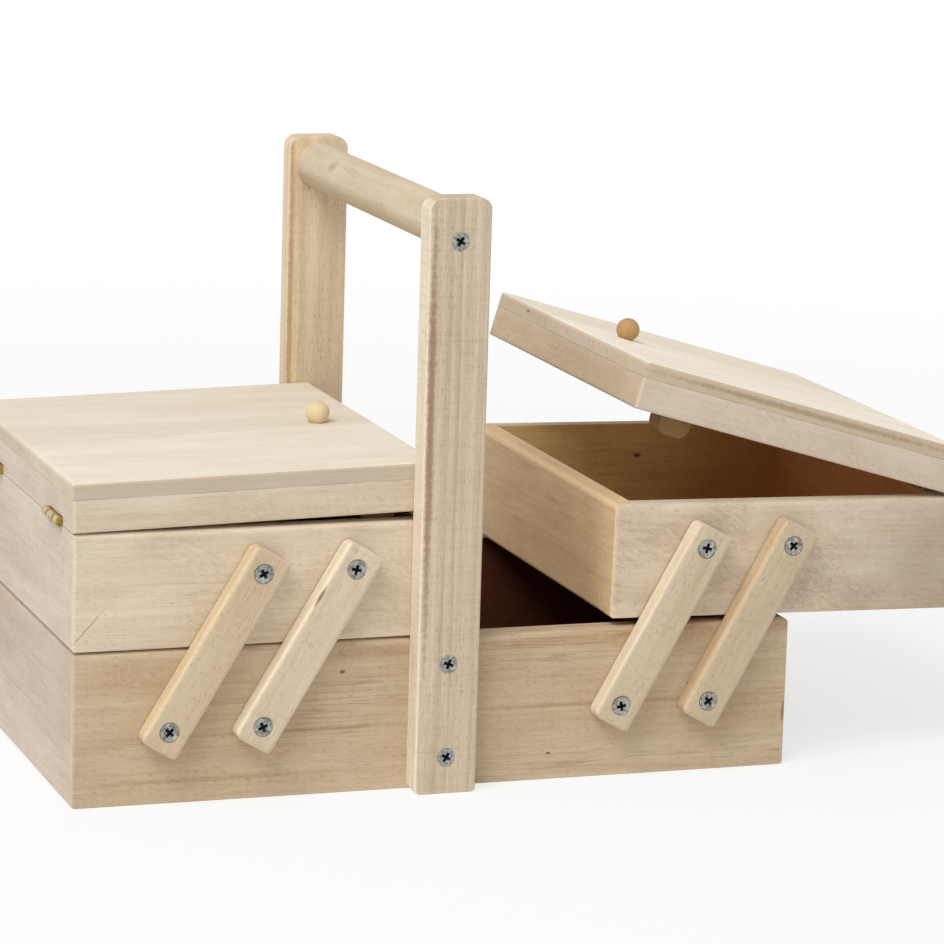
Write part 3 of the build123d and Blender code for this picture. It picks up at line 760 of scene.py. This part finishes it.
# ---------------------------------------------------------------- metal
def metal_material(name, light, dark, roughness, scale, metallic=1.0, joints=()):
    """Plated or drawn metal, a little uneven in colour and gloss; scale is blotches to the millimetre.

    joints are places along Y, in millimetres, where two leaves of a hinge meet in a dark line.
    """
    material = new_material(name)
    t = Tree(material.node_tree)
    point = t.in_millimetres(t.add("ShaderNodeTexCoord").outputs["Object"])
    blotch = t.ramp(t.noise(point, (scale, scale, scale), 4.0, 0.6), 0.3, 0.7)
    grit = t.noise(point, (5.0, 5.0, 5.0), 2.0)
    bump = t.add("ShaderNodeBump", {"Strength": 0.25, "Distance": 0.03 * MM, "Height": grit})
    colour = t.mix(blotch, light, dark)
    for joint in joints:
        off = t.math("ABSOLUTE", t.math("SUBTRACT", t.split(point)[1], joint))
        colour = t.mix(t.ramp(off, 0.7, 0.25), colour, SEAM_PAINT)
    surface = t.add(
        "ShaderNodeBsdfPrincipled",
        {
            "Base Color": colour,
            "Metallic": metallic,
            "Roughness": t.ramp(blotch, 0.0, 1.0, roughness, roughness + 0.15),
            "Normal": bump.outputs[0],
        },
    )
    t.add("ShaderNodeOutputMaterial", {"Surface": surface.outputs[0]})
    return material


ZINC, RECESS_SHADE = 0, 1                 # the order of the materials on a screw
RECESS_RINGS = 3                    # how many bands of its skin are the recess
WOOD_SCREW = (1.75, 3.5)            # radius of the shank and of the head
KNOB_SCREW = (1.25, 2.5)
DRAWN_HEAD = 3.5                    # radius of the head that the recess is drawn for
SAME_SCREW = 2.5                    # corners nearer than this many head radii are one screw's
SHARP_EDGE = radians(32)

zinc = metal_material("zinc_plate", tone(188, 189, 182), tone(112, 113, 108), 0.3, 0.9)
# The recess is near black: painted shade in the cross of each head.
recess = metal_material("zinc_recess_shade", tone(13, 13, 14), tone(6, 6, 7), 0.6, 1.5, 0.0)
hinge_middles = (-54.6, 37.5)       # along Y
knuckle_ends = (-4.0, 4.0)          # of the middle knuckle, from there
brass = metal_material(
    "brass_plate", tone(222, 200, 132), tone(150, 118, 56), 0.28, 0.5,
    joints=[place + end for place in hinge_middles for end in knuckle_ends],
)


def circle(radius, count):
    """Points round a circle, in step with the corners of a cross recess."""
    turns = [2 * pi * index / count - pi / 4 for index in range(count)]
    return [(radius * cos(turn), radius * sin(turn)) for turn in turns]


def cross(reach, half):
    """The outline of a cross recess: each arm ends at reach and is half wide to either side."""
    arm = [
        (half, -half), ((half + reach) / 2, -half), (0.94 * reach, -half), (reach, -half / 2),
        (reach, half / 2), (0.94 * reach, half), ((half + reach) / 2, half),
    ]
    outline = []
    for quarter in range(4):
        turn = quarter * pi / 2
        outline += [(x * cos(turn) - y * sin(turn), x * sin(turn) + y * cos(turn)) for x, y in arm]
    return outline


def screw_rings(radius, head_radius, length):
    """The rings of points that a countersunk wood screw is skinned over, from the recess out to the tip.

    The head lies at z = 0 and the screw points down.  The first rings are the recess.
    """
    size = head_radius / DRAWN_HEAD
    land = head_radius - 0.36 * size    # where the flat of the head ends
    edge = 0.13 * size                  # the bevel round it
    steps_per_turn = 6
    root = 0.68                         # of the thread, against its crest
    ridge_half = 0.3                    # of a turn of the thread
    least_taper = 0.06
    rings = [
        ([(size * x, size * y) for x, y in cross(reach, half)], -size * depth)
        for reach, half, depth in ((0.6, 0.28, 2.0), (1.2, 0.4, 1.1), (1.72, 0.5, 0.45), (1.85, 0.58, 0.26))
    ]
    count = len(rings[0][0])
    flat = circle(land, count)
    rings.append(([((a + c) / 2, (b + d) / 2) for (a, b), (c, d) in zip(rings[-1][0], flat)], -0.22 * size))
    rings.append((flat, 0.0))
    rings.append((circle(head_radius - edge, count), -edge))
    rings.append((circle(radius, count), radius - head_radius))
    shank = 0.4 * length
    pitch = 0.75 * radius
    tip = 2.2 * radius
    steps = int((length - shank) / pitch * steps_per_turn)
    for step in range(steps):
        depth = shank + (length - shank) * step / steps
        taper = min(1.0, max(least_taper, (length - depth) / tip))
        points = []
        for index, (x, y) in enumerate(circle(1.0, count)):
            turn = (depth / pitch + index / count) % 1.0
            ridge = max(0.0, 1.0 - abs(turn - 0.5) / ridge_half)
            reach = radius * taper * (root + (1 - root) * ridge * min(1.0, step / steps_per_turn))
            if step == 0:
                reach = radius
            points.append((x * reach, y * reach))
        rings.append((points, -depth))
    return rings


def make_screws(node, radius_mm, head_radius_mm, outward=None):
    """Turned screws, each with a cross recess and a thread, in the places of a node's plain ones.

    outward is the way their heads face; without it they face away from the middle of the box.
    """
    groups = []
    for vertex in nodes[node].data.vertices:
        for group in groups:
            gap = group[0] - vertex.co
            same_side = outward is not None or group[0].y * vertex.co.y > 0
            way = outward or Y
            if same_side and (gap - gap.dot(way) * way).length < SAME_SCREW * head_radius_mm * MM:
                group.append(vertex.co)
                break
        else:
            groups.append([vertex.co])
    corners = []
    faces = []
    materials = []
    for group in groups:
        out = outward or (Y if group[0].y > 0 else -Y)
        side = out.orthogonal().normalized()
        turn = Matrix.Rotation(dice.uniform(0, pi / 2), 3, out)
        side = turn @ side
        other = out.cross(side)
        reach = [point.dot(out) for point in group]
        middle = [
            way * (min(point.dot(way) for point in group) + max(point.dot(way) for point in group)) / 2
            for way in (side, other)
        ]
        head = middle[0] + middle[1] + out * max(reach)
        rings = screw_rings(radius_mm, head_radius_mm, (max(reach) - min(reach)) / MM)
        count = len(rings[0][0])
        first = len(corners)
        for points, height in rings:
            corners += [head + (side * x + other * y + out * height) * MM for x, y in points]
        faces.append([first + index for index in range(count)])
        materials.append(RECESS_SHADE)
        for level in range(len(rings) - 1):
            low = first + level * count
            for index in range(count):
                after = (index + 1) % count
                faces.append((low + count + index, low + count + after, low + after, low + index))
                materials.append(RECESS_SHADE if level < RECESS_RINGS else ZINC)
        last = first + (len(rings) - 1) * count
        faces.append([last + index for index in reversed(range(count))])
        materials.append(ZINC)
    mesh = bpy.data.meshes.new(f"{node}_turned")
    mesh.from_pydata(corners, [], faces)
    for material in (zinc, recess):
        mesh.materials.append(material)
    mesh.polygons.foreach_set("material_index", materials)
    mesh.polygons.foreach_set("use_smooth", [True] * len(faces))
    mesh.set_sharp_from_angle(angle=SHARP_EDGE)
    mesh.update()
    piece = bpy.data.objects.new(f"{node}_turned", mesh)
    bpy.context.scene.collection.objects.link(piece)
    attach(piece, nodes[node]["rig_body"])
    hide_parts(node)


def finish_metal():
    for side in SIDES:
        for part in ("hinge_tray_leaves", "hinge_lid_leaves", "hinge_pins"):
            put_on(nodes[f"{side}_{part}"], brass)
        make_screws(f"{side}_tray_pivot_screws", *WOOD_SCREW)
        make_screws(f"{side}_knob_screw", *KNOB_SCREW, -lid_along[side].cross(Y))
    for node in ("base_pivot_screws", "post_screws", "handle_screws"):
        make_screws(node, *WOOD_SCREW)


finish_base()
finish_handle()
finish_links()
finish_trays()
finish_lids()
finish_metal()


# ---------------------------------------------------------------- floor, light and camera
def floor_material():
    """A pale matt floor, near white to the camera and in gloss, which keeps the shadows on it."""
    material = new_material("studio_floor")
    t = Tree(material.node_tree)
    matt = t.add("ShaderNodeBsdfDiffuse", {"Color": (floor_albedo, floor_albedo, floor_albedo, 1)})
    glow = t.add("ShaderNodeEmission", {"Color": WHITE, "Strength": 1.0})
    place = t.add("ShaderNodeTexCoord").outputs["Object"]
    away = t.ramp(t.vector("LENGTH", place), floor_near, floor_far, floor_glow, 1.0)
    share = t.math("MULTIPLY", t.looked_at(), away)
    both = t.add("ShaderNodeMixShader", {0: share, 1: matt.outputs[0], 2: glow.outputs[0]})
    t.add("ShaderNodeOutputMaterial", {"Surface": both.outputs[0]})
    return material


def make_floor():
    reach = 40.0    # far enough to meet the white of the world out of sight
    mesh = bpy.data.meshes.new("floor")
    corners = [(-reach, -reach, 0), (reach, -reach, 0), (reach, reach, 0), (-reach, reach, 0)]
    mesh.from_pydata(corners, [], [(0, 1, 2, 3)])
    floor_sheet = bpy.data.objects.new("floor", mesh)
    bpy.context.scene.collection.objects.link(floor_sheet)
    floor_sheet.location.z = cad_box[0].z
    mesh.materials.append(floor_material())


def make_world():
    """White to the eye and in gloss, and a softer light on everything else."""
    world = bpy.data.worlds.new("studio")
    world.use_nodes = True
    world.node_tree.nodes.clear()
    t = Tree(world.node_tree)
    strength = t.ramp(t.looked_at(), 0.0, 1.0, world_strength, 1.0)
    sky = t.add("ShaderNodeBackground", {"Color": WHITE, "Strength": strength})
    t.add("ShaderNodeOutputWorld", {"Surface": sky.outputs[0]})
    bpy.context.scene.world = world


def make_key():
    """One soft square lamp above the front left."""
    lamp = bpy.data.lights.new("key", "AREA")
    lamp.size = key_size
    lamp.energy = key_power
    key = bpy.data.objects.new("key", lamp)
    bpy.context.scene.collection.objects.link(key)
    key.location = key_place
    key.rotation_mode = "QUATERNION"
    key.rotation_quaternion = (-key_place).to_track_quat("-Z", "Y")


def make_camera():
    yaw = radians(camera_yaw)
    pitch = radians(camera_pitch)
    roll = radians(camera_roll)
    forward = Vector((sin(yaw) * cos(pitch), cos(yaw) * cos(pitch), -sin(pitch)))
    level = Vector((cos(yaw), -sin(yaw), 0))
    upright = level.cross(forward)
    right = cos(roll) * level + sin(roll) * upright
    up = cos(roll) * upright - sin(roll) * level
    lens = bpy.data.cameras.new("camera")
    lens.lens = camera_lens_mm
    lens.sensor_width = camera_sensor_mm
    camera = bpy.data.objects.new("camera", lens)
    bpy.context.scene.collection.objects.link(camera)
    turn = Matrix((right, up, -forward)).transposed()
    camera.matrix_world = Matrix.Translation(camera_place) @ turn.to_4x4()
    bpy.context.scene.camera = camera


make_floor()
make_world()
make_key()
make_camera()
bpy.context.scene.view_settings.view_transform = "Standard"
